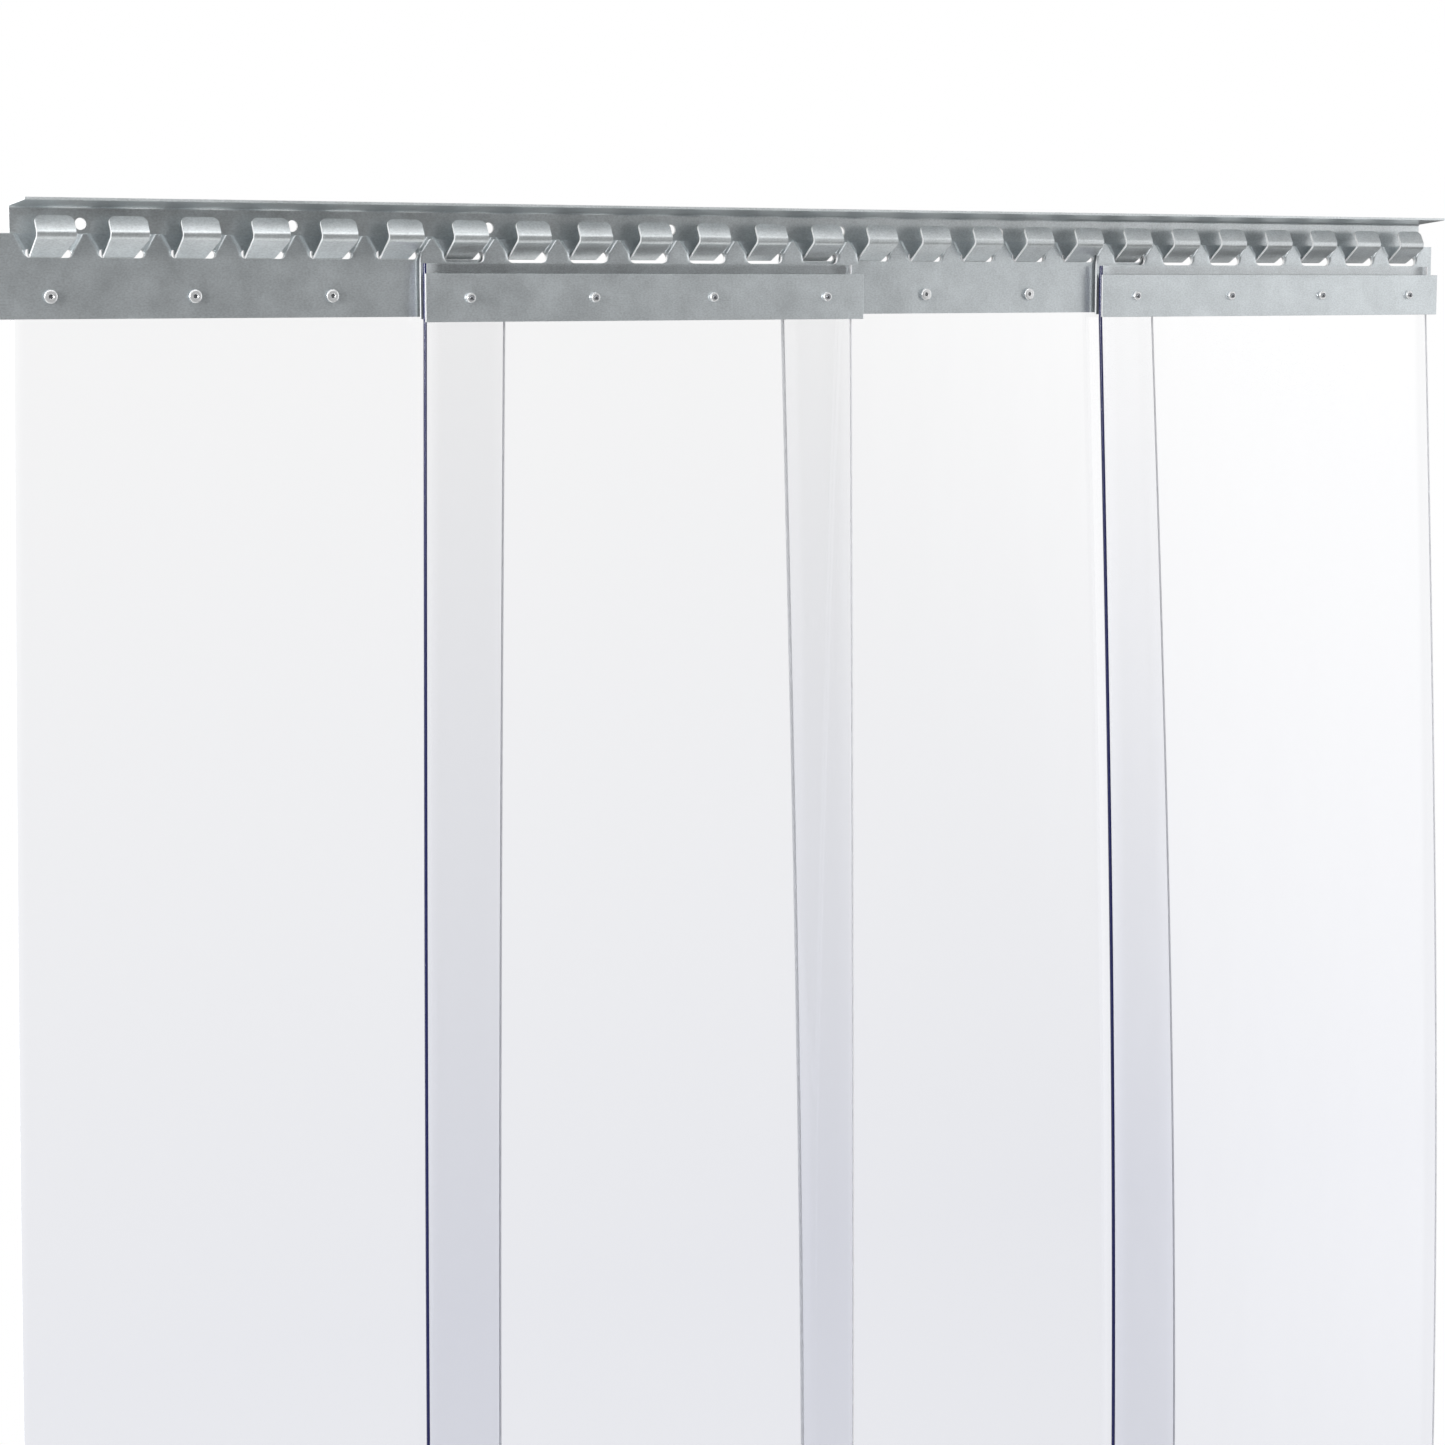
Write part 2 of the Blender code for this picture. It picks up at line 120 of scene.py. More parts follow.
class RailSettings(bpy.types.PropertyGroup):
    """Sizes of the hook rail."""

    hooks: whole("Hooks", "Number of hooks on the comb", 25, 1)
    sheet: metres("Sheet", "Thickness of the steel", 0.0015)
    corner_radius: metres("Flange bend", "Inner radius of the bend under the flange", 0.0015)
    flange_rise: degrees("Flange rise", "Rise of the flange towards its lip", 6)
    root_width: metres("Hook root width", "Width of a hook where it leaves the rail", 0.0175)
    root_shift: metres("Hook root shift", "Shift of a hook's root from its nose, along X", -0.002)
    nose_width: metres("Hook nose width", "Width of a hook at its nose", 0.022)
    lower_edge: metres("Lower edge", "Height of the rail's lower edge between hooks", -0.0114)
    valley_level: metres("Valley level", "Height where a hook starts to curve forward", -0.01564)
    valley_radius: metres("Valley radius", "Inner radius of a hook's valley", 0.0012)
    slope: degrees("Slope", "Rise of a hook from its valley to its nose", 39.2)
    nose_reach: metres("Nose reach", "Depth of a hook's nose in front of the rail", 0.0155)
    nose_radius: metres("Nose radius", "Inner radius of a hook's nose", 0.003)
    tip_lean: degrees("Tip lean", "Lean of a hook's tip back towards the rail", 25.6)
    tip_length: metres("Tip length", "Straight length of a hook's tip", 0.0084)
    tip_corner: metres("Tip corner", "Radius of a tip's two corners", 0.0035)
    hole: metres("Screw hole", "Diameter of a screw hole", 0.0066)
    hole_from_hook: metres("Hole from hook", "Distance of a screw hole from its hook", 0.019)
    hooks_per_hole: whole("Hooks per hole", "Hooks from one screw hole to the next", 3, 1)
    edge: metres("Edge", "Rounding of the cut edges", 0.0002)


class PlateSettings(bpy.types.PropertyGroup):
    """Sizes of the hanger plates and clamp bars."""

    sheet: metres("Sheet", "Thickness of the steel", 0.0015)
    height: metres("Height", "Height of a hanger plate", 0.0462)
    length: metres("Length", "Length of a hanger plate", 0.3072)
    slots: whole("Slots", "Slots in a hanger plate", 7, 1)
    slot_width: metres("Slot width", "Width of a slot", 0.026)
    slot_base_back: metres("Slot base, behind", "Slot base of a plate with its strip behind", 0.0331)
    slot_base_front: metres("Slot base, in front", "Slot base of a plate with its strip in front", 0.0326)
    slot_height_back: metres("Slot height, behind", "Slot height of a plate with its strip behind", 0.0047)
    slot_height_front: metres("Slot height, in front", "Slot height of a plate with its strip in front",
                              0.0068)
    slot_corner_back: metres("Slot corner, behind", "Slot corner's radius, strip behind", 0.0022)
    slot_corner_front: metres("Slot corner, in front", "Slot corner's radius, strip in front", 0.0032)
    recess: metres("Recess", "How far a bar is pressed back", 0.0015)
    hump_foot: metres("Hump foot", "Half width of a hump at slot level", 0.0064)
    hump_top: metres("Hump top", "Half width of a hump at the plate's top edge", 0.0012)
    fold_width: metres("Fold width", "Width of the fold between hump and bar", 0.0022)
    edge: metres("Edge", "Rounding of the cut edges", 0.00025)


class StripSettings(bpy.types.PropertyGroup):
    """Sizes of the PVC strips."""

    width: metres("Width", "Width of a strip", 0.300)
    length: metres("Length", "Length of a strip", 2.000)
    thickness: metres("Thickness", "Thickness of a strip", 0.003)
    edge: metres("Edge", "Rounding of a strip's long edges", 0.0012)
    sway_depth: metres("Sway depth", "Drop over which a strip's sway builds up", 0.95)
    columns: whole("Columns", "Faces across a strip", 24, 2)
    rows: whole("Rows", "Faces down a strip", 90, 2)


class RivetSettings(bpy.types.PropertyGroup):
    """Sizes of the blind rivets and their mandrels."""

    count: whole("Count", "Rivets in a set", 4, 1)
    slots_apart: whole("Slots apart", "Slots from one rivet to the next", 2, 1)
    height: metres("Height", "Height above the plate's lower edge", 0.0122)
    bore: metres("Bore", "Bore of a rivet", 0.0024)
    shank: metres("Shank", "Diameter of a rivet's shank", 0.0040)
    hole: metres("Hole", "Diameter of a rivet hole", 0.0046)
    flange: metres("Flange", "Diameter of a rivet's flange", 0.0076)
    flange_height: metres("Flange height", "Height of a rivet's flange", 0.0007)
    tail: metres("Tail", "Diameter of a rivet's swelled tail", 0.0060)
    tail_length: metres("Tail length", "Length of the swelled tail", 0.0022)
    mandrel: metres("Mandrel", "Diameter of a mandrel's stem", 0.0018)
    head: metres("Mandrel head", "Diameter of a mandrel's head", 0.0032)
    head_length: metres("Head length", "Length of a mandrel's head", 0.0010)
    break_depth: metres("Break depth", "Depth of the broken end below the flange", 0.0004)


class FinishSettings(bpy.types.PropertyGroup):
    """Colours of the finishes."""

    rail: colour("Rail", "Zinc-plated rail", "DDE2E4")
    plate: colour("Plate", "Zinc-plated hanger plates and clamp bars", "D8DEE1")
    # Painted highlight: paler than the faces, so that the sheets' cut ends show as bright lines
    sheared: colour("Sheared edge", "Sheared ends of the steel sheets", "E6E8E9")
    rivet: colour("Rivet", "Bright aluminium rivets", "F2F3F4")
    mandrel: colour("Mandrel", "Plain steel mandrels", "8E9094")
    pvc: colour("PVC", "Clear PVC at the top, seen through one strip", "FFFFFF")
    # Painted shade: the PVC's tone deepens from white at the top to pale blue-grey lower down
    pvc_shaded_low: colour("PVC, lower down", "Clear PVC where it stops deepening", "F0F1F6")
    pvc_shade_drop: metres("PVC drop", "Drop over which the PVC's tone deepens", 0.65)
    # Painted shade: a dark navy line on the left cut edge of each front strip
    painted_shade_edge: colour("Dark edge", "Cut edge of a front strip, on the left", "1B1E4A")
    # Painted glow: a pale tone on every other cut edge, also emitted as a bright line
    painted_glow_edge: colour("Pale edge", "Any other cut edge of a strip", "F4F5F8")
    floor: colour("Floor", "Pale floor", "EDEDEC")


class StageSettings(bpy.types.PropertyGroup):
    """Camera, lamps and floor."""

    camera: FloatVectorProperty(name="Camera", description="Place of the camera", subtype="TRANSLATION",
                                default=(-1.0740, -1.5989, -0.0313))
    heading: degrees("Heading", "Camera's turn from +Y towards +X", 32.175)
    pitch: degrees("Pitch", "How far the camera looks down", 6.6)
    lens: FloatProperty(name="Lens", description="Focal length in millimetres", default=75.76)
    shift: FloatProperty(name="Shift", description="Vertical shift of the lens", default=-0.0615)
    floor_size: metres("Floor", "Side of the floor", 3.6)
    floor_gap: metres("Floor gap", "Height of the strips above the floor", 0.004)


class CurtainSettings(bpy.types.PropertyGroup):
    """Everything that a user would change."""

    rail: PointerProperty(type=RailSettings)
    plate: PointerProperty(type=PlateSettings)
    strip: PointerProperty(type=StripSettings)
    rivet: PointerProperty(type=RivetSettings)
    finish: PointerProperty(type=FinishSettings)
    stage: PointerProperty(type=StageSettings)


def add_node(tree, kind, inputs=(), **settings):
    """Node with its settings; each input is given a value or the output socket that feeds it."""
    made = tree.nodes.new(kind)
    for name, value in settings.items():
        setattr(made, name, value)
    for socket, value in dict(inputs).items():
        if isinstance(value, bpy.types.NodeSocket):
            tree.links.new(value, made.inputs[socket])
        else:
            made.inputs[socket].default_value = value
    return made


def calculate(tree, operation, first, second, clamp=False):
    """Result of an operation on two numbers or sockets."""
    return add_node(tree, "ShaderNodeMath", {0: first, 1: second}, operation=operation,
                    use_clamp=clamp).outputs[0]


def blend(tree, share, low, high):
    """Value between two others, by a share."""
    return add_node(tree, "ShaderNodeMix", {0: share, 2: low, 3: high}).outputs[0]


def row_tree():
    """Geometry node group that repeats a mesh in a row along X, centred on it, and gives it one material."""
    tree = bpy.data.node_groups.get(ROW_TREE)
    if tree:
        return tree
    tree = bpy.data.node_groups.new(ROW_TREE, "GeometryNodeTree")
    sockets = (("Piece", "Geometry"), ("Count", "Int"), ("Spacing", "Float"), ("Merge Distance", "Float"),
               ("Finish", "Material"))
    for name, kind in sockets:
        tree.interface.new_socket(name, in_out="INPUT", socket_type="NodeSocket" + kind)
    tree.interface.new_socket("Row", in_out="OUTPUT", socket_type="NodeSocketGeometry")
    given = add_node(tree, "NodeGroupInput").outputs
    span = calculate(tree, "MULTIPLY", calculate(tree, "SUBTRACT", given["Count"], 1.0), given["Spacing"])
    first = calculate(tree, "MULTIPLY", span, -0.5)
    start = add_node(tree, "ShaderNodeCombineXYZ", {"X": first}).outputs[0]
    step = add_node(tree, "ShaderNodeCombineXYZ", {"X": given["Spacing"]}).outputs[0]
    line = add_node(tree, "GeometryNodeMeshLine", {"Count": given["Count"], "Start Location": start,
                                                   "Offset": step}).outputs[0]
    copies = add_node(tree, "GeometryNodeInstanceOnPoints",
                      {"Points": line, "Instance": given["Piece"]}).outputs[0]
    real = add_node(tree, "GeometryNodeRealizeInstances", {"Geometry": copies}).outputs[0]
    joined = add_node(tree, "GeometryNodeMergeByDistance",
                      {"Geometry": real, "Distance": given["Merge Distance"]}).outputs[0]
    coated = add_node(tree, "GeometryNodeSetMaterial",
                      {"Geometry": joined, "Material": given["Finish"]}).outputs[0]
    add_node(tree, "NodeGroupOutput", {"Row": coated})
    return tree


def add_piece(name, bm):
    """Object with a mesh from a bmesh, at the origin."""
    mesh = bpy.data.meshes.new(name)
    bm.to_mesh(mesh)
    bm.free()
    piece = bpy.data.objects.new(name, mesh)
    bpy.context.scene.collection.objects.link(piece)
    return piece


def freeze(piece):
    """Turns a piece and its modifiers into a plain mesh."""
    depsgraph = bpy.context.evaluated_depsgraph_get()
    mesh = bpy.data.meshes.new_from_object(piece.evaluated_get(depsgraph), depsgraph=depsgraph)
    piece.modifiers.clear()
    piece.data = mesh


def repeat(piece, count, spacing, merge, finish):
    """Repeats a piece in a row along X, with its finish."""
    tree = row_tree()
    row = piece.modifiers.new("row", "NODES")
    row.node_group = tree
    values = {"Count": count, "Spacing": spacing, "Merge Distance": merge, "Finish": finish}
    for item in tree.interface.items_tree:
        if item.in_out == "INPUT" and item.name in values:
            row[item.identifier] = values[item.name]
    freeze(piece)


def thicken(piece, thickness, even):
    """Gives an open sheet its wall, on the side that its faces point to."""
    wall = piece.modifiers.new("wall", "SOLIDIFY")
    wall.thickness = thickness
    wall.offset = 1
    wall.use_even_offset = even
    freeze(piece)


def cut(piece, cutter):
    """Cuts a piece with another one, which is then removed."""
    knife = piece.modifiers.new("cut", "BOOLEAN")
    knife.operation = "DIFFERENCE"
    knife.solver = "EXACT"
    knife.object = cutter
    freeze(piece)
    bpy.data.objects.remove(cutter)


def soften(piece, width):
    """Rounds a metal piece's cut edges and shades its flat faces flat."""
    rounding = piece.modifiers.new("rounding", "BEVEL")
    rounding.width = width
    rounding.segments = 2
    rounding.limit_method = "ANGLE"
    rounding.angle_limit = BEVEL_ANGLE
    rounding.miter_outer = "MITER_ARC"
    freeze(piece)
    piece.data.shade_smooth()
    weights = piece.modifiers.new("weights", "WEIGHTED_NORMAL")
    weights.keep_sharp = True
    freeze(piece)


def settle(piece, body, nodes):
    """Puts a piece on its body, in place of its nodes."""
    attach(piece, body)
    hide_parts(*nodes)


def sweep(points, stations):
    """Open sheet made by drawing a side view of (y, z) points through stations along X."""
    bm = bmesh.new()
    rows = [[bm.verts.new((x, y, z)) for y, z in points] for x in stations]
    for here, there in zip(rows, rows[1:]):
        for low, high in zip(range(len(points)), range(1, len(points))):
            bm.faces.new((here[low], there[low], there[high], here[high]))
    return bm


def arc(centre, radius, start, end, steps=ARC_STEPS):
    """Points on an arc from one angle to another, as (depth, height) in a side view or (x, y) from above."""
    turns = [start + (end - start) * step / steps for step in range(steps + 1)]
    return [(centre[0] + radius * math.cos(turn), centre[1] + radius * math.sin(turn)) for turn in turns]


def bend_centre(rail, lip):
    """Centre of the bend under the flange, from the lower edge of its lip, as (depth, height)."""
    run = lip[0] + rail.corner_radius * (math.sin(rail.flange_rise) - 1)
    drop = run * math.tan(rail.flange_rise) + rail.corner_radius * math.cos(rail.flange_rise)
    return (rail.corner_radius, lip[1] - drop)


def rail_profile(rail, low, high):
    """Inner face of the rail, as (depth, height), and of a hook, as (depth, height, inset of its sides)."""
    lip = (-low.y - rail.sheet, high.z - rail.sheet * math.cos(rail.flange_rise))
    bend = arc(bend_centre(rail, lip), rail.corner_radius, math.pi / 2 + rail.flange_rise, math.pi)
    sheet = [lip] + bend + [(0, rail.lower_edge)]
    turn = rail.valley_radius
    valley = arc((turn, rail.valley_level), turn, math.pi, 1.5 * math.pi + rail.slope)
    nose_depth = rail.nose_reach - rail.nose_radius - rail.sheet
    rise = (nose_depth - turn * (1 + math.sin(rail.slope))) * math.tan(rail.slope)
    slope_height = rail.valley_level - turn * math.cos(rail.slope) + rise
    nose_height = slope_height + rail.nose_radius / math.cos(rail.slope)
    nose = arc((nose_depth, nose_height), rail.nose_radius, rail.slope - math.pi / 2, rail.tip_lean)
    hook = [(depth, height, 0) for depth, height in valley + nose]
    for step in range(ARC_STEPS + 1):
        turn = math.pi / 2 * step / ARC_STEPS
        along = rail.tip_length - rail.tip_corner * (1 - math.sin(turn))
        hook.append((nose[-1][0] - along * math.sin(rail.tip_lean),
                     nose[-1][1] + along * math.cos(rail.tip_lean),
                     rail.tip_corner * (1 - math.cos(turn))))
    return sheet, hook


def hook_side(rail, side, depth):
    """Offset of a hook's left (-1) or right (1) side, which runs from its root out to its nose."""
    nose_depth = rail.nose_reach - rail.nose_radius - rail.sheet
    share = min(1, max(0, (depth - rail.valley_radius) / (nose_depth - rail.valley_radius)))
    root = rail.root_shift + side * rail.root_width / 2
    return root + (side * rail.nose_width / 2 - root) * share


def rail_cell(rail, pitch, low, high):
    """Open sheet of one hook and the stretch of rail that carries it."""
    sheet, hook = rail_profile(rail, low, high)
    points = [(-rail.sheet - point[0], point[1]) for point in sheet + hook]
    bm = sweep(points, (-pitch / 2, hook_side(rail, -1, 0), hook_side(rail, 1, 0), pitch / 2))
    bm.verts.ensure_lookup_table()
    bm.faces.ensure_lookup_table()
    for side, column in ((-1, 1), (1, 2)):
        for row, (depth, _, inset) in enumerate(hook, start=len(sheet)):
            bm.verts[column * len(points) + row].co.x = hook_side(rail, side, depth) - side * inset
    comb = range(len(sheet) - 1, len(points) - 1)
    beside = [bm.faces[column * (len(points) - 1) + row] for column in (0, 2) for row in comb]
    bmesh.ops.delete(bm, geom=beside, context="FACES")
    return bm


def bores(name, diameter, centres, length):
    """Cutter of cylinders along Y through (x, y, z) centres."""
    bm = bmesh.new()
    turn = Matrix.Rotation(math.pi / 2, 4, "X")
    for centre in centres:
        bmesh.ops.create_cone(bm, cap_ends=True, segments=ROUND_SIDES, radius1=diameter / 2,
                              radius2=diameter / 2, depth=length,
                              matrix=Matrix.Translation(centre) @ turn)
    return add_piece(name, bm)


def new_finish(name):
    """Material with its node tree, its shader and the coordinates of its piece."""
    made = bpy.data.materials.new(name)
    made.use_nodes = True
    tree = made.node_tree
    return made, tree, tree.nodes["Principled BSDF"], add_node(tree, "ShaderNodeTexCoord").outputs["Object"]


def give(shader, **values):
    """Sets a shader's own sockets, by their names with a low line for each space."""
    for name, value in values.items():
        shader.inputs[name.replace("_", " ")].default_value = value


def noise(tree, place, size, detail=2.0, roughness=0.5):
    """Noise with patches of one size."""
    return add_node(tree, "ShaderNodeTexNoise", {"Vector": place, "Scale": 1 / size, "Detail": detail,
                                                 "Roughness": roughness}).outputs["Fac"]


def stretch(tree, value, ends, results):
    """Value that runs from one end to the other, mapped to a range of results."""
    return add_node(tree, "ShaderNodeMapRange", {"Value": value, "From Min": ends[0], "From Max": ends[1],
                                                 "To Min": results[0], "To Max": results[1]}).outputs[0]


def mottle(tree, shader, tone, value, ends, shares):
    """Base colour that runs between two shares of a tone, by a value."""
    spread = stretch(tree, value, ends, shares)
    tint = add_node(tree, "ShaderNodeVectorMath", {0: tone, "Scale": spread}, operation="SCALE").outputs[0]
    tree.links.new(tint, shader.inputs["Base Color"])


def roughen(tree, shader, value, strength, depth):
    """Shades a surface as if a value raised it."""
    bump = add_node(tree, "ShaderNodeBump", {"Strength": strength, "Distance": depth, "Height": value})
    tree.links.new(bump.outputs[0], shader.inputs["Normal"])


def zinc_plate(key):
    """Zinc-plated steel in a setting's colour, made once: dull silver, crystalline, with soft clouds."""
    found = bpy.data.materials.get("zinc_plated_" + key)
    if found:
        return found
    grain, patch = 0.0009, 0.022
    made, tree, shader, place = new_finish("zinc_plated_" + key)
    rolled = add_node(tree, "ShaderNodeMapping", {"Vector": place, "Scale": (0.6, 1.0, 1.0)}).outputs[0]
    fine = noise(tree, rolled, grain, detail=3.0, roughness=0.6)
    cloud = noise(tree, place, patch, detail=4.0, roughness=0.65)
    tone = getattr(bpy.context.scene.curtain.finish, key)
    mottle(tree, shader, tone, blend(tree, 0.45, fine, cloud), (0.38, 0.62), (0.86, 1.12))
    give(shader, Metallic=0.76)
    tree.links.new(stretch(tree, cloud, NOISE_ENDS, (0.285, 0.33)), shader.inputs["Roughness"])
    roughen(tree, shader, fine, 0.04, grain / 4)
    return made


def turned_metal(name, tone, metallic, roughness):
    """Small drawn or turned metal part: bright, with fine marks."""
    grain = 0.0006
    made, tree, shader, place = new_finish(name)
    fine = noise(tree, place, grain)
    mottle(tree, shader, tone, fine, NOISE_ENDS, (0.92, 1.04))
    give(shader, Metallic=metallic, Roughness=roughness)
    roughen(tree, shader, fine, 0.1, grain / 4)
    return made


def clear_pvc(finish):
    """Soft clear PVC, calendered smooth: glossy, with painted shade that makes it bluer lower down, and slow
    waves in its surface.
    """
    made, tree, shader, place = new_finish("clear_pvc")
    give(shader, Roughness=0.03, IOR=PVC_IOR, Transmission_Weight=1.0)
    height = add_node(tree, "ShaderNodeSeparateXYZ", {0: place}).outputs["Z"]
    # Painted shade: the tone deepens over the drop below the top
    rise = stretch(tree, height, (-finish.pvc_shade_drop, 0.0), (0.0, 1.0))
    tone = add_node(tree, "ShaderNodeMix", {0: rise, 6: (*finish.pvc_shaded_low, 1.0), 7: (*finish.pvc, 1.0)},
                    data_type="RGBA").outputs[2]
    tree.links.new(tone, shader.inputs["Base Color"])
    drawn = add_node(tree, "ShaderNodeMapping", {"Vector": place, "Scale": (1.0, 1.0, 0.35)}).outputs[0]
    roughen(tree, shader, noise(tree, drawn, 0.05), 0.15, 0.001)
    return made


def cut_pvc(name, tone):
    """Cut edge of a PVC strip: its own tone, also emitted as a painted glow, with fine knife marks."""
    made, tree, shader, place = new_finish(name)
    # Painted glow: the edge faintly emits its own tone
    give(shader, Roughness=0.25, IOR=PVC_IOR, Emission_Color=(*tone, 1.0), Emission_Strength=0.15)
    mottle(tree, shader, tone, noise(tree, place, 0.004), NOISE_ENDS, (0.9, 1.05))
    return made


def sheared_zinc():
    """Sheared edge of a zinc-plated sheet, duller than its faces and paler as a painted highlight, made once.
    """
    found = bpy.data.materials.get("sheared_zinc")
    if found:
        return found
    made, tree, shader, place = new_finish("sheared_zinc")
    tone = bpy.context.scene.curtain.finish.sheared
    mottle(tree, shader, tone, noise(tree, place, 0.0006), NOISE_ENDS, (0.88, 1.05))
    give(shader, Metallic=0.2, Roughness=0.5)
    return made


def show_cuts(piece, is_cut):
    """Gives the faces that look along X, where is_cut holds for their centre, a sheared edge's finish with
    its painted highlight.
    """
    index = len(piece.data.materials)
    piece.data.materials.append(sheared_zinc())
    for face in piece.data.polygons:
        if abs(face.normal.x) > SHEARED_TURN and is_cut(face.center):
            face.material_index = index


def hook_pitch():
    """Distance from one hook to the next."""
    low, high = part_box("hook_rail")
    return (high.x - low.x) / bpy.context.scene.curtain.rail.hooks


def hanging(number):
    """Where a set hangs: its middle, its plate's front and foot, the rail's end and its slots' sizes."""
    plate = bpy.context.scene.curtain.plate
    low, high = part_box("hanger_plate_" + str(number))
    behind = number % 2 == 1
    base = plate.slot_base_back if behind else plate.slot_base_front
    slot = plate.slot_height_back if behind else plate.slot_height_front
    corner = plate.slot_corner_back if behind else plate.slot_corner_front
    return {"middle": (low.x + high.x) / 2, "front": low.y, "bottom": low.z, "behind": behind,
            "slot_base": base, "slot_height": slot, "slot_corner": corner,
            "rail_end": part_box("hook_rail")[1].x}


def drill(piece, spot, depth):
    """Drills a set's rivet holes through one of its pieces, which lies at a depth along Y."""
    curtain = bpy.context.scene.curtain
    rivet = curtain.rivet
    spacing, z = rivet.slots_apart * hook_pitch(), spot["bottom"] + rivet.height
    holes = [(spot["middle"] + (index - (rivet.count - 1) / 2) * spacing, depth, z)
             for index in range(rivet.count)]
    cut(piece, bores("rivet_holes", rivet.hole, holes, PLATE_CUTTER * curtain.plate.sheet))


def recess_share(plate, x, z, spot, pitch):
    """Share of the full recess on a plate: 0 on a hump or past the rail's end, 1 on the bar over a slot."""
    if abs(spot["middle"] + x) > spot["rail_end"]:
        return 0
    start = spot["slot_base"] + plate.edge
    top = spot["slot_base"] + spot["slot_height"] - plate.edge
    rise = min(1, max(0, (z - start) / (top - start)))
    climb = min(1, max(0, (z - top) / (plate.height - top)))
    from_hump = abs((x / pitch) % 1 - 0.5) * pitch
    foot = plate.hump_foot + (plate.hump_top - plate.hump_foot) * climb
    share = rise * min(1, max(0, (from_hump - foot) / plate.fold_width))
    return share * share * (3 - 2 * share)


class CURTAIN_OT_rail(bpy.types.Operator):
    """Makes the hook rail"""

    bl_idname = "curtain.rail"
    bl_label = "Hook rail"

    def execute(self, context):
        """Repeats one hook cell, gives it its wall and drills the screw holes."""
        rail = context.scene.curtain.rail
        low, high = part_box("hook_rail")
        pitch = hook_pitch()
        piece = add_piece("zinc_hook_rail", rail_cell(rail, pitch, low, high))
        repeat(piece, rail.hooks, pitch, rail.edge / 4, zinc_plate("rail"))
        thicken(piece, rail.sheet, even=True)
        first = -(rail.hooks - 1) / 2 * pitch + rail.hole_from_hook
        drilled = range(0, rail.hooks - 1, rail.hooks_per_hole)
        centres = [(first + index * pitch, -rail.sheet / 2, 0) for index in drilled]
        cut(piece, bores("screw_holes", rail.hole, centres, RAIL_CUTTER * rail.sheet))
        soften(piece, rail.edge)
        show_cuts(piece, lambda spot: spot.z < rail.lower_edge or spot.y < -2 * rail.sheet
                  or abs(spot.x) > high.x - rail.sheet)
        settle(piece, "rail", ["hook_rail"])
        return {"FINISHED"}


class CURTAIN_OT_plates(bpy.types.Operator):
    """Makes the hanger plates"""

    bl_idname = "curtain.plates"
    bl_label = "Hanger plates"

    CORNER_STEPS = 6

    def make(self, number):
        """One hanger plate: pressed sheet, slots and rivet holes."""
        plate = bpy.context.scene.curtain.plate
        spot, pitch = hanging(number), hook_pitch()
        stations = [pitch * (index / PLATE_COLUMNS - 0.5) for index in range(PLATE_COLUMNS + 1)]
        # The rows lie half a step off the slots' edges, so that these don't cut along them
        levels = (spot["slot_base"], spot["slot_base"] + spot["slot_height"], plate.height)
        heights = [0, levels[0] - spot["slot_height"] / ARC_STEPS / 2]
        for here, there in zip(levels, levels[1:]):
            heights += [here + (there - here) * (step + 0.5) / ARC_STEPS for step in range(ARC_STEPS)]
        heights.append(plate.height)
        piece = add_piece("pressed_hanger_plate_" + str(number), sweep([(0, z) for z in heights], stations))
        repeat(piece, plate.slots + 2, pitch, plate.edge / 4, zinc_plate("plate"))
        bm = bmesh.new()
        bm.from_mesh(piece.data)
        for side in (-1, 1):
            bmesh.ops.bisect_plane(bm, geom=bm.verts[:] + bm.edges[:] + bm.faces[:], dist=plate.edge / 100,
                                   plane_co=(side * plate.length / 2, 0, 0), plane_no=(side, 0, 0),
                                   clear_outer=True)
        for vert in bm.verts:
            vert.co.y = plate.recess * recess_share(plate, vert.co.x, vert.co.z, spot, pitch)
        bmesh.ops.translate(bm, verts=bm.verts,
                            vec=(spot["middle"], spot["front"] + plate.sheet, spot["bottom"]))
        bmesh.ops.reverse_faces(bm, faces=bm.faces)
        bm.to_mesh(piece.data)
        bm.free()
        thicken(piece, plate.sheet, even=False)
        cut(piece, self.windows(spot, plate, pitch))
        drill(piece, spot, spot["front"])
        soften(piece, plate.edge)
        show_cuts(piece, lambda place: abs(place.x - spot["middle"]) > plate.length / 2 - plate.sheet)
        settle(piece, "strip_set_" + str(number), ["hanger_plate_" + str(number)])

    def windows(self, spot, plate, pitch):
        """Cutter of blocks with rounded corners, for the slots."""
        bm = bmesh.new()
        size = Vector((plate.slot_width, PLATE_CUTTER * plate.sheet, spot["slot_height"]))
        bmesh.ops.create_cube(bm, size=1, matrix=Matrix.LocRotScale(None, None, size))
        across = [edge for edge in bm.edges if abs(edge.verts[0].co.y - edge.verts[1].co.y) > plate.sheet]
        bmesh.ops.bevel(bm, geom=across, offset=spot["slot_corner"], segments=self.CORNER_STEPS,
                        profile=0.5, affect="EDGES")
        cutter = add_piece("slots", bm)
        repeat(cutter, plate.slots, pitch, 0.0, None)
        height = spot["bottom"] + spot["slot_base"] + spot["slot_height"] / 2
        cutter.data.transform(Matrix.Translation((spot["middle"], spot["front"], height)))
        return cutter

    def execute(self, context):
        """Makes a plate for each set."""
        for number in SETS:
            self.make(number)
        return {"FINISHED"}


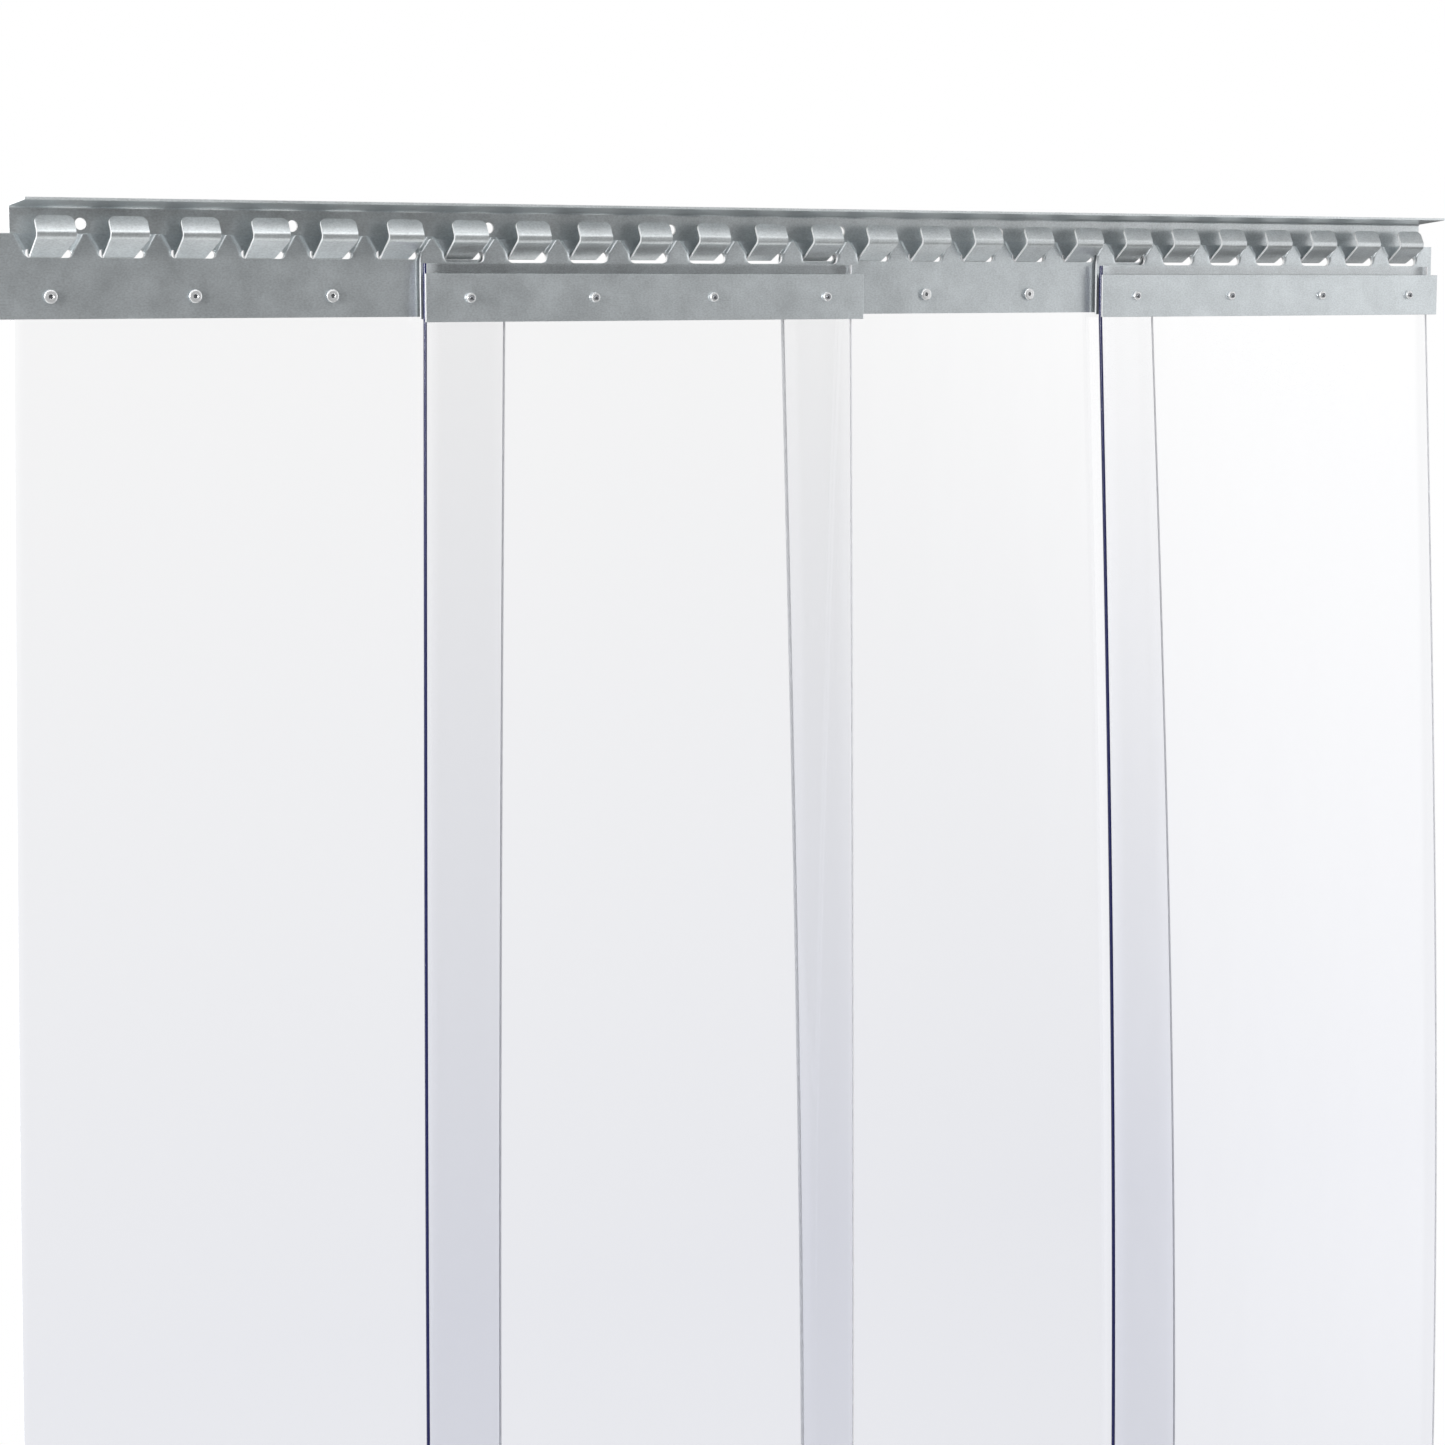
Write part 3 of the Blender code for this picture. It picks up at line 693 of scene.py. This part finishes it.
class CURTAIN_OT_clamps(bpy.types.Operator):
    """Makes the clamp bars"""

    bl_idname = "curtain.clamps"
    bl_label = "Clamp bars"

    def make(self, number):
        """One flat bar with rounded edges and rivet holes."""
        plate = bpy.context.scene.curtain.plate
        spot = hanging(number)
        low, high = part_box("clamp_bar_" + str(number))
        bm = bmesh.new()
        bmesh.ops.create_cube(bm, size=1, matrix=Matrix.LocRotScale((low + high) / 2, None, high - low))
        piece = add_piece("flat_clamp_bar_" + str(number), bm)
        piece.data.materials.append(zinc_plate("plate"))
        drill(piece, spot, low.y)
        soften(piece, plate.edge)
        show_cuts(piece, lambda place: abs(place.x - spot["middle"]) > (high.x - low.x) / 2 - plate.sheet)
        settle(piece, "strip_set_" + str(number), ["clamp_bar_" + str(number)])

    def execute(self, context):
        """Makes a bar for each set."""
        for number in SETS:
            self.make(number)
        return {"FINISHED"}


class CURTAIN_OT_strips(bpy.types.Operator):
    """Makes the PVC strips"""

    bl_idname = "curtain.strips"
    bl_label = "PVC strips"

    # How a strip hangs below its clamp: drift along X, then lean to the viewer at its left and right edges
    SWAYS = {1: (-0.0104, -0.0080, 0.0010), 2: (-0.0047, -0.0045, 0.0164), 3: (0.0237, -0.0071, 0.0173),
             4: (0.0170, 0.0118, 0.0219)}
    # Above 1, so that the rows get further apart down the strip
    ROW_GROWTH = 1.3
    CORNER_STEPS = 4

    def outline(self, strip):
        """Cross-section of a strip as (x, y) points, anticlockwise from above."""
        half, deep, turn = strip.width / 2, strip.thickness / 2, strip.edge
        across = [-half + turn + (strip.width - 2 * turn) * step / strip.columns
                  for step in range(strip.columns + 1)]
        points = [(x, -deep) for x in across]
        quarter = ((1, -1, -math.pi / 2), (1, 1, 0), (-1, 1, math.pi / 2), (-1, -1, math.pi))
        corners = [arc((side * (half - turn), up * (deep - turn)), turn, start, start + math.pi / 2,
                       self.CORNER_STEPS) for side, up, start in quarter]
        points += corners[0][1:] + corners[1]
        points += [(x, deep) for x in reversed(across)][1:]
        points += corners[2][1:] + corners[3][:-1]
        return points

    def make(self, number, finishes):
        """One strip: its section drawn down its length, then drilled."""
        strip, spot = bpy.context.scene.curtain.strip, hanging(number)
        low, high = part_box("pvc_strip_" + str(number))
        clamp_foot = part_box("clamp_bar_" + str(number))[0].z
        drift, lean_left, lean_right = self.SWAYS[number]
        middle = (low + high) / 2
        points = self.outline(strip)
        bm = bmesh.new()
        rings = []
        for row in range(strip.rows + 1):
            z = high.z + (low.z - high.z) * (row / strip.rows) ** self.ROW_GROWTH
            drop = min(1, max(0, clamp_foot - z) / strip.sway_depth)
            sway = math.sin(math.pi / 2 * drop)
            ring = []
            for x, y in points:
                share = x / strip.width + 0.5
                lean = lean_left + (lean_right - lean_left) * share
                ring.append(bm.verts.new((middle.x + x + drift * sway, middle.y + y - lean * sway, z)))
            rings.append(ring)
        for upper, lower in zip(rings, rings[1:]):
            for here in range(len(points)):
                there = (here + 1) % len(points)
                bm.faces.new((upper[here], lower[here], lower[there], upper[there]))
        bm.faces.new(rings[0])
        bm.faces.new(reversed(rings[-1]))
        bmesh.ops.recalc_face_normals(bm, faces=bm.faces)
        piece = add_piece("clear_pvc_strip_" + str(number), bm)
        for finish in finishes:
            piece.data.materials.append(finish)
        drill(piece, spot, middle.y)
        # Painted shade on the left cut edge of a front strip, painted glow on every other cut edge
        for face in piece.data.polygons:
            if abs(face.normal.x) > STRIP_EDGE_TURN and abs(face.center.x - middle.x) > strip.width / 4:
                face.material_index = 1 if face.normal.x < 0 and not spot["behind"] else 2
        piece.data.shade_smooth()
        piece.data.set_sharp_from_angle(angle=STRIP_SMOOTH_ANGLE)
        settle(piece, "strip_set_" + str(number), ["pvc_strip_" + str(number)])
        return piece

    def execute(self, context):
        """Makes a strip for each set."""
        curtain = context.scene.curtain
        finish = curtain.finish
        # The clear PVC, then cut edges with painted shade and with painted glow
        finishes = (clear_pvc(finish), cut_pvc("cut_pvc_painted_shade", finish.painted_shade_edge),
                    cut_pvc("cut_pvc_painted_glow", finish.painted_glow_edge))
        for number in SETS:
            piece = self.make(number, finishes)
        return {"FINISHED"}


class CURTAIN_OT_rivets(bpy.types.Operator):
    """Makes the blind rivets and their mandrels"""

    bl_idname = "curtain.rivets"
    bl_label = "Rivets and mandrels"

    ROUND_STEPS = 6
    SWELL_STEPS = 8
    # Shares of the flange's radius and height at which its crown stops being flat and its rim starts
    CROWN_FLAT = 0.72
    RIM_RISE = 0.2
    # Bevel of the bore's mouth, as a share of the bore
    MOUTH_BEVEL = 0.125
    # Below 1, which makes a swelled tail fuller than a plain bulge
    SWELL_POWER = 0.6
    # Bevel of a mandrel's broken end and straight part of its head, as shares of their sizes
    BROKEN_BEVEL = 0.3
    HEAD_STRAIGHT = 0.3

    def rivet_section(self, rivet, grip):
        """Half section of a rivet, flange first, as closed (radius, height) points."""
        bore, shank = rivet.bore / 2, rivet.shank / 2
        flange, tail = rivet.flange / 2, rivet.tail / 2
        bevel = self.MOUTH_BEVEL * rivet.bore
        crown = [(bore, rivet.flange_height - bevel), (bore + bevel, rivet.flange_height)]
        for step in range(self.ROUND_STEPS + 1):
            turn = math.pi / 2 * step / self.ROUND_STEPS
            crown.append((flange * (self.CROWN_FLAT + (1 - self.CROWN_FLAT) * math.sin(turn)),
                          rivet.flange_height * (self.RIM_RISE + (1 - self.RIM_RISE) * math.cos(turn))))
        middle = -grip - rivet.tail_length / 2
        swell = [(shank + (tail - shank) * math.sin(math.pi * step / self.SWELL_STEPS) ** self.SWELL_POWER,
                  middle + rivet.tail_length / 2 * math.cos(math.pi * step / self.SWELL_STEPS))
                 for step in range(self.SWELL_STEPS + 1)]
        return crown + [(flange, 0), (shank, 0)] + swell + [(bore, -grip - rivet.tail_length)]

    def mandrel_section(self, rivet, grip):
        """Half section of a mandrel from its broken end to its rounded head, as (radius, height) points."""
        stem, head = rivet.mandrel / 2, rivet.head / 2
        top = rivet.flange_height - rivet.break_depth
        under = -grip - rivet.tail_length - rivet.break_depth / 2
        bevel = self.BROKEN_BEVEL * stem
        section = [(0, top), (stem - bevel, top), (stem, top - bevel), (stem, under), (head, under)]
        for step in range(self.ROUND_STEPS):
            turn = math.pi / 2 * step / self.ROUND_STEPS
            reach = self.HEAD_STRAIGHT + (1 - self.HEAD_STRAIGHT) * math.sin(turn)
            section.append((head * math.cos(turn), under - rivet.head_length * reach))
        return section + [(0, under - rivet.head_length)]

    def turned(self, name, points, closed):
        """Mesh of a half section turned about Z."""
        mesh = bpy.data.meshes.new(name)
        edges = [(index, index + 1) for index in range(len(points) - 1)]
        if closed:
            edges.append((len(points) - 1, 0))
        mesh.from_pydata([(radius, 0, height) for radius, height in points], edges, [])
        piece = bpy.data.objects.new(name, mesh)
        bpy.context.scene.collection.objects.link(piece)
        turn = piece.modifiers.new("turn", "SCREW")
        turn.steps = ROUND_SIDES
        turn.render_steps = ROUND_SIDES
        turn.use_merge_vertices = True
        turn.merge_threshold = MERGE_DISTANCE
        freeze(piece)
        bm = bmesh.new()
        bm.from_mesh(piece.data)
        bmesh.ops.remove_doubles(bm, verts=bm.verts, dist=MERGE_DISTANCE)
        bmesh.ops.recalc_face_normals(bm, faces=bm.faces)
        bm.to_mesh(piece.data)
        bm.free()
        return piece

    def execute(self, context):
        """Makes a row of rivets and a row of mandrels for each set."""
        curtain = context.scene.curtain
        rivet = curtain.rivet
        spacing = rivet.slots_apart * hook_pitch()
        bright = turned_metal("bright_aluminium", curtain.finish.rivet, metallic=0.6, roughness=0.3)
        steel = turned_metal("plain_steel", curtain.finish.mandrel, metallic=1.0, roughness=0.35)
        for number in SETS:
            spot = hanging(number)
            low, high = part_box("rivet_" + str(number) + "_1")
            grip = high.y - low.y - rivet.flange_height - rivet.tail_length
            kinds = (("rivet", self.rivet_section(rivet, grip), True, bright),
                     ("mandrel", self.mandrel_section(rivet, grip), False, steel))
            seat = low.y + rivet.flange_height if spot["behind"] else high.y - rivet.flange_height
            angle = math.pi / 2 if spot["behind"] else -math.pi / 2
            place = (spot["middle"], seat, (low.z + high.z) / 2)
            for kind, section, closed, finish in kinds:
                piece = self.turned("row_of_" + kind + "s_" + str(number), section, closed)
                piece.data.transform(Matrix.Rotation(angle, 4, "X"))
                repeat(piece, rivet.count, spacing, 0.0, finish)
                piece.data.transform(Matrix.Translation(place))
                piece.data.shade_smooth()
                piece.data.set_sharp_from_angle(angle=SMOOTH_ANGLE)
                nodes = [kind + "_" + str(number) + "_" + str(count + 1) for count in range(rivet.count)]
                settle(piece, "strip_set_" + str(number), nodes)
        return {"FINISHED"}


class CURTAIN_OT_stage(bpy.types.Operator):
    """Makes the floor, the light and the camera"""

    bl_idname = "curtain.stage"
    bl_label = "Stage"

    def add_floor(self, curtain):
        """Pale floor just under the strips."""
        half = curtain.stage.floor_size / 2
        bm = bmesh.new()
        bmesh.ops.create_grid(bm, x_segments=1, y_segments=1, size=half)
        bmesh.ops.translate(bm, verts=bm.verts, vec=(0, 0, CAD_BOX[0].z - curtain.stage.floor_gap))
        floor = add_piece("floor", bm)
        made, _, shader, _ = new_finish("painted_floor")
        give(shader, Base_Color=(*curtain.finish.floor, 1.0), Roughness=0.7)
        floor.data.materials.append(made)

    # Brightness of the studio in reflections, level with the eye, by degrees round from -Y towards +X
    ROUND_LEVELS = {-180: 0.08, -165: 1.0, -125: 1.0, -95: 0.22, -60: 0.07, 31: 0.07, 44: 1.22, 75: 1.4,
                    110: 0.9, 125: 0.08}
    # The same by the sine of the height in hundredths, with how far it takes over from the level round
    HEIGHT_LEVELS = {-100: (0.95, 1), -85: (0.85, 1), -68: (0.28, 1), -50: (0.22, 1), -25: (0.22, 0),
                     25: (0.9, 0), 36: (1.4, 1), 50: (1.1, 1), 66: (0.72, 1), 100: (0.65, 1)}
    # What those levels by height are multiplied with, by degrees round
    TURN_SHARES = {-180: 1.0, 0: 1.4, 24: 1.25, 36: 0.75, 48: 0.4, 70: 0.5, 98: 1.0, 180: 1.0}
    # Brightness of the studio for pale, dull surfaces
    EVEN_LEVEL = 0.6

    def add_ramp(self, tree, value, reach, levels):
        """Ramp from -reach to reach through levels given by degrees or hundredths, with a share as alpha."""
        spread = stretch(tree, value, (-reach, reach), (0.0, 1.0))
        ramp = add_node(tree, "ShaderNodeValToRGB", {"Fac": spread})
        ends = -min(levels)
        ramp.color_ramp.interpolation = "EASE"
        marks = ramp.color_ramp.elements
        marks.remove(marks[1])
        for spot, level in levels.items():
            level, share = level if isinstance(level, tuple) else (level, 1)
            mark = marks[0] if spot == -ends else marks.new(0.5 + spot / ends / 2)
            mark.color = (level, level, level, share)
        return ramp

    def add_world(self):
        """White behind the object, a soft studio round it in reflections, and even light on pale surfaces."""
        world = bpy.data.worlds.new("studio")
        bpy.context.scene.world = world
        world.use_nodes = True
        tree = world.node_tree
        tree.nodes.clear()
        ray = add_node(tree, "ShaderNodeLightPath").outputs
        direct = calculate(tree, "MAXIMUM", ray["Is Camera Ray"], ray["Is Transmission Ray"])
        turned = calculate(tree, "ADD", ray["Glossy Depth"], ray["Diffuse Depth"])
        seen = calculate(tree, "SUBTRACT", direct, turned, clamp=True)
        mirrored = calculate(tree, "MAXIMUM", ray["Is Glossy Ray"], ray["Glossy Depth"], clamp=True)
        way = add_node(tree, "ShaderNodeSeparateXYZ",
                       {0: add_node(tree, "ShaderNodeTexCoord").outputs["Generated"]}).outputs
        turn = calculate(tree, "ARCTAN2", way["X"], calculate(tree, "MULTIPLY", way["Y"], -1.0))
        side = self.add_ramp(tree, turn, math.pi, self.ROUND_LEVELS).outputs["Color"]
        above = self.add_ramp(tree, way["Z"], 1.0, self.HEIGHT_LEVELS).outputs
        share = self.add_ramp(tree, turn, math.pi, self.TURN_SHARES).outputs["Color"]
        tilted = calculate(tree, "MULTIPLY", above["Color"], share)
        studio = blend(tree, mirrored, self.EVEN_LEVEL, blend(tree, above["Alpha"], side, tilted))
        level = blend(tree, seen, studio, 1.0)
        light = add_node(tree, "ShaderNodeBackground", {"Color": (1.0, 1.0, 1.0, 1.0), "Strength": level})
        add_node(tree, "ShaderNodeOutputWorld", {"Surface": light.outputs[0]})

    # Place, target, side and watts of each lamp
    LAMPS = {"key": ((0.75, -1.6, 1.77), (-0.3, 0, 0), 1.4, 5.5),
             "rim": ((-2.2, -0.5, 0.2), (0, 0, -0.1), 0.6, 40)}

    def add_lamp(self, name, place, target, size, power):
        """Soft square lamp that points at a target."""
        data = bpy.data.lights.new(name, "AREA")
        data.size = size
        data.energy = power
        lamp = bpy.data.objects.new(name, data)
        lamp.location = place
        lamp.rotation_euler = (Vector(target) - Vector(place)).to_track_quat("-Z", "Y").to_euler()
        bpy.context.scene.collection.objects.link(lamp)

    def execute(self, context):
        """Adds the floor, the world, two lamps and the camera."""
        curtain = context.scene.curtain
        stage = curtain.stage
        self.add_floor(curtain)
        self.add_world()
        for name, lamp in self.LAMPS.items():
            self.add_lamp(name, *lamp)
        data = bpy.data.cameras.new("camera")
        data.lens = stage.lens
        data.shift_y = stage.shift
        camera = bpy.data.objects.new("camera", data)
        camera.location = stage.camera
        camera.rotation_euler = (math.pi / 2 - stage.pitch, 0, -stage.heading)
        context.scene.collection.objects.link(camera)
        context.scene.camera = camera
        context.scene.view_settings.view_transform = "Standard"
        return {"FINISHED"}


class CURTAIN_PT_panel(bpy.types.Panel):
    """Panel with the curtain's pieces and settings"""

    bl_label = "Strip curtain"
    bl_idname = "CURTAIN_PT_panel"
    bl_space_type = "VIEW_3D"
    bl_region_type = "UI"
    bl_category = "Curtain"

    def draw(self, context):
        """Lists the operators, then each group of settings."""
        for operator in OPERATORS:
            self.layout.operator(operator.bl_idname)
        curtain = context.scene.curtain
        for group in ("rail", "plate", "strip", "rivet", "finish", "stage"):
            box = self.layout.box()
            box.label(text=group.capitalize())
            settings = getattr(curtain, group)
            for name in settings.__annotations__:
                box.prop(settings, name)


OPERATORS = (CURTAIN_OT_rail, CURTAIN_OT_plates, CURTAIN_OT_clamps, CURTAIN_OT_strips, CURTAIN_OT_rivets,
             CURTAIN_OT_stage)
CLASSES = (RailSettings, PlateSettings, StripSettings, RivetSettings, FinishSettings, StageSettings,
           CurtainSettings, *OPERATORS, CURTAIN_PT_panel)


def register():
    """Adds the classes and the scene's settings."""
    for item in CLASSES:
        bpy.utils.register_class(item)
    bpy.types.Scene.curtain = PointerProperty(type=CurtainSettings)


def unregister():
    """Removes the scene's settings and the classes."""
    del bpy.types.Scene.curtain
    for item in reversed(CLASSES):
        bpy.utils.unregister_class(item)


def main():
    """Makes every piece."""
    register()
    bpy.ops.curtain.rail()
    bpy.ops.curtain.plates()
    bpy.ops.curtain.clamps()
    bpy.ops.curtain.strips()
    bpy.ops.curtain.rivets()
    bpy.ops.curtain.stage()


if __name__ == "__main__":
    main()
